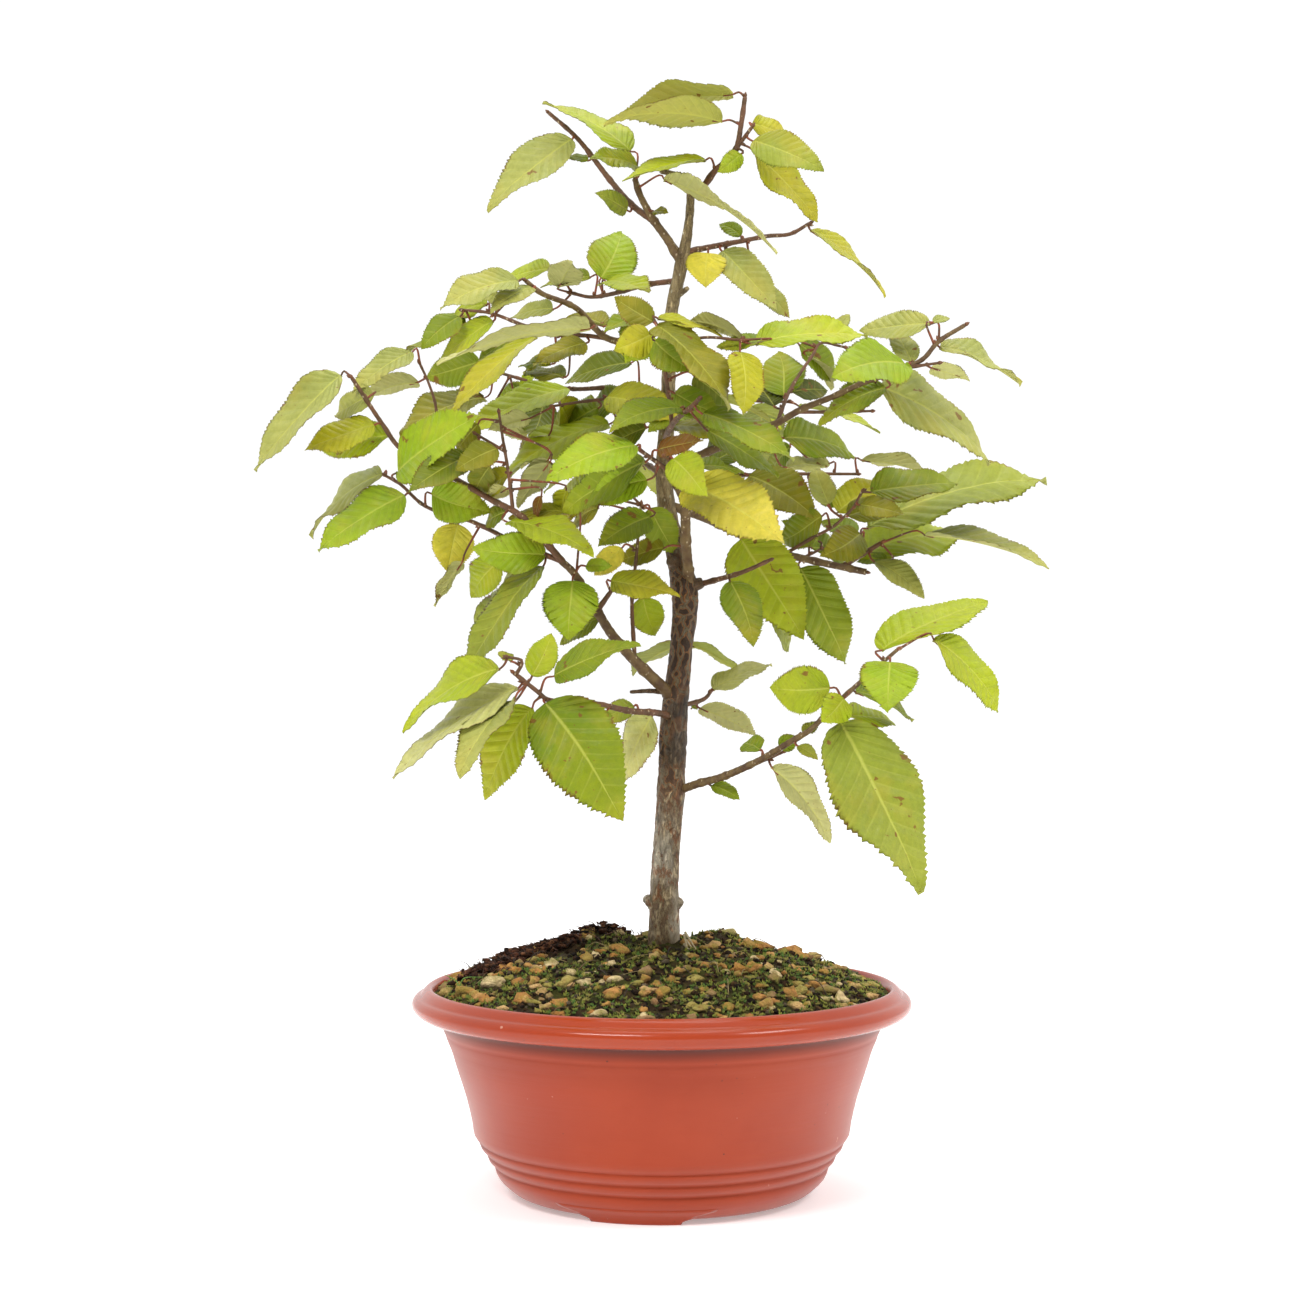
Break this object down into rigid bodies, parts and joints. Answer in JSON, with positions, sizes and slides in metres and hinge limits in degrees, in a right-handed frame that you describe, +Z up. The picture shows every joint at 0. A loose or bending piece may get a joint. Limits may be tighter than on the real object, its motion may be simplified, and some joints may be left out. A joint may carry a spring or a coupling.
{
  "type": "potted bonsai tree",
  "caption": "Young Korean hornbeam bonsai with a slim upright trunk and thin leafy branches of serrated leaves, standing in mounded soil in a round plastic training pot.",
  "frame": {"origin": "on the floor under the middle of the pot, at the centre of the bounding box's bottom", "axes": "+Z up along the trunk, -Y towards the front of the tree, +X to its right as seen from the front"},
  "size_m": [0.322, 0.2022, 0.4446],
  "materials": {
    "pot": "satin moulded plastic",
    "soil": "matt peat and pumice grains",
    "bark": "matt living bark",
    "leaf": "soft satin living leaf"
  },
  "bodies": {
    "root": {"pot": "pot", "soil": "soil", "trunk": "bark", "branch_leader": "leaf", "branch_top_left": "leaf", "branch_top_right": "leaf", "branch_left_thin": "leaf", "branch_left_upper": "leaf", "branch_left_middle": "leaf", "branch_left_long": "leaf", "branch_lower_left": "leaf", "branch_low_right": "leaf", "branch_middle_right": "leaf", "branch_upper_right": "leaf", "branch_level_right": "leaf", "branch_front": "leaf", "stem_front": "leaf", "twig_small_right": "leaf", "twig_knot": "leaf", "branch_back_left": "leaf", "branch_back_right": "leaf", "branch_back_low": "leaf"}
  },
  "joints": []
}
